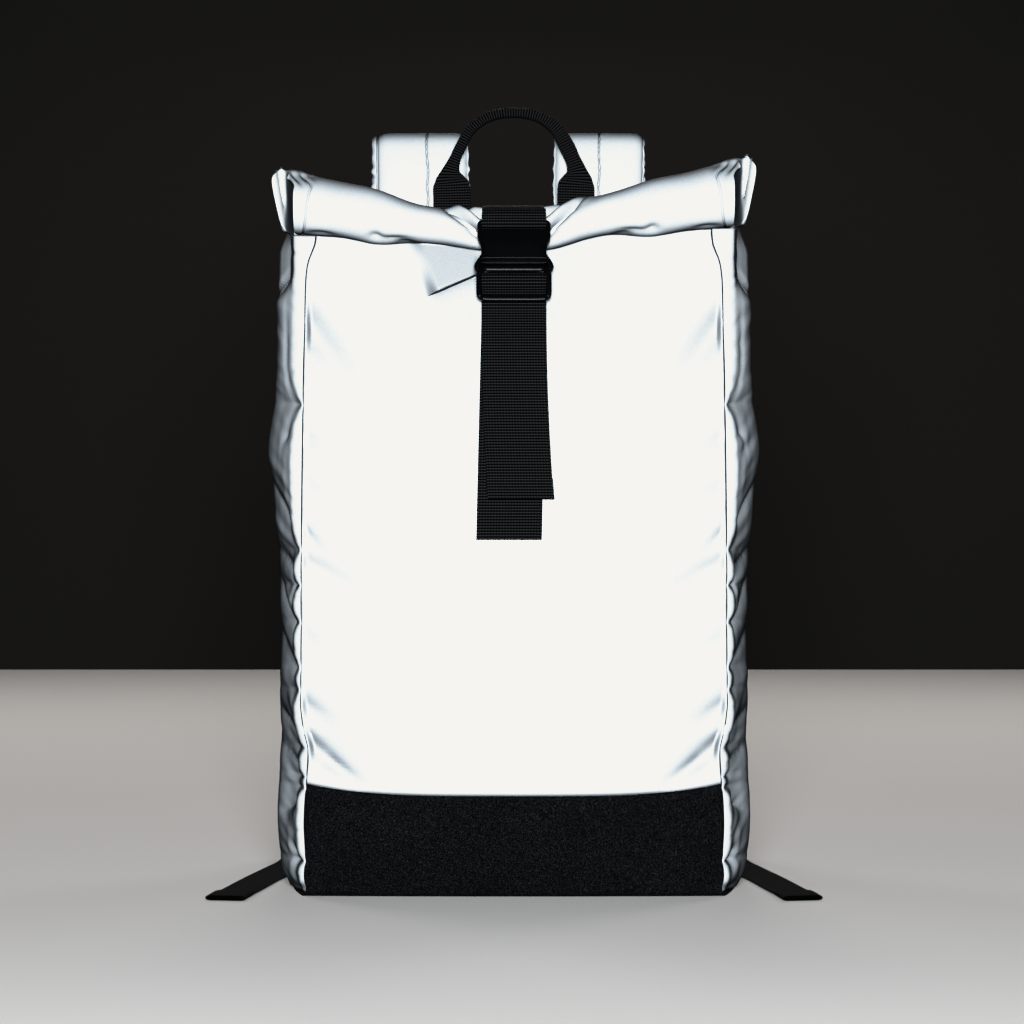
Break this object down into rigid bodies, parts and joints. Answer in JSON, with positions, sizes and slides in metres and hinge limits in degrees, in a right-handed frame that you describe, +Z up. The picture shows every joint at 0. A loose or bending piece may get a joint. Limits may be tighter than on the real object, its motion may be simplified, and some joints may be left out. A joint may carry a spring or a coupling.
{
  "type": "roll-top backpack",
  "caption": "Soft roll-top backpack in silver reflective cloth with a dark base band, webbing closure strap with a side-release buckle, grab handle and padded shoulder straps.",
  "frame": {"origin": "middle of the flat underside of the base, on the floor", "axes": "+Z up, -Y the front with the closure strap, +X the right as seen from the front"},
  "size_m": [0.3766, 0.2148, 0.5077],
  "materials": {
    "silver_cloth": "silver cloth with a retroreflective bead coating",
    "black_cloth": "matt black coated canvas with fine pale specks",
    "black_webbing": "ribbed black woven webbing",
    "black_plastic": "moulded black plastic, half matt"
  },
  "bodies": {
    "root": {"front_panel": "silver_cloth", "gusset_left": "silver_cloth", "gusset_right": "silver_cloth", "roll_top": "silver_cloth", "shoulder_strap_left": "silver_cloth", "shoulder_strap_right": "silver_cloth", "base_panel": "black_cloth", "back_panel": "black_cloth", "closure_strap_upper": "black_webbing", "closure_strap_lower": "black_webbing", "grab_handle": "black_webbing", "strap_tab_left": "black_webbing", "strap_tab_right": "black_webbing", "shoulder_webbing_left": "black_webbing", "shoulder_webbing_right": "black_webbing", "buckle_female": "black_plastic", "buckle_male": "black_plastic", "strap_adjuster_left": "black_plastic", "strap_adjuster_right": "black_plastic"}
  },
  "joints": []
}
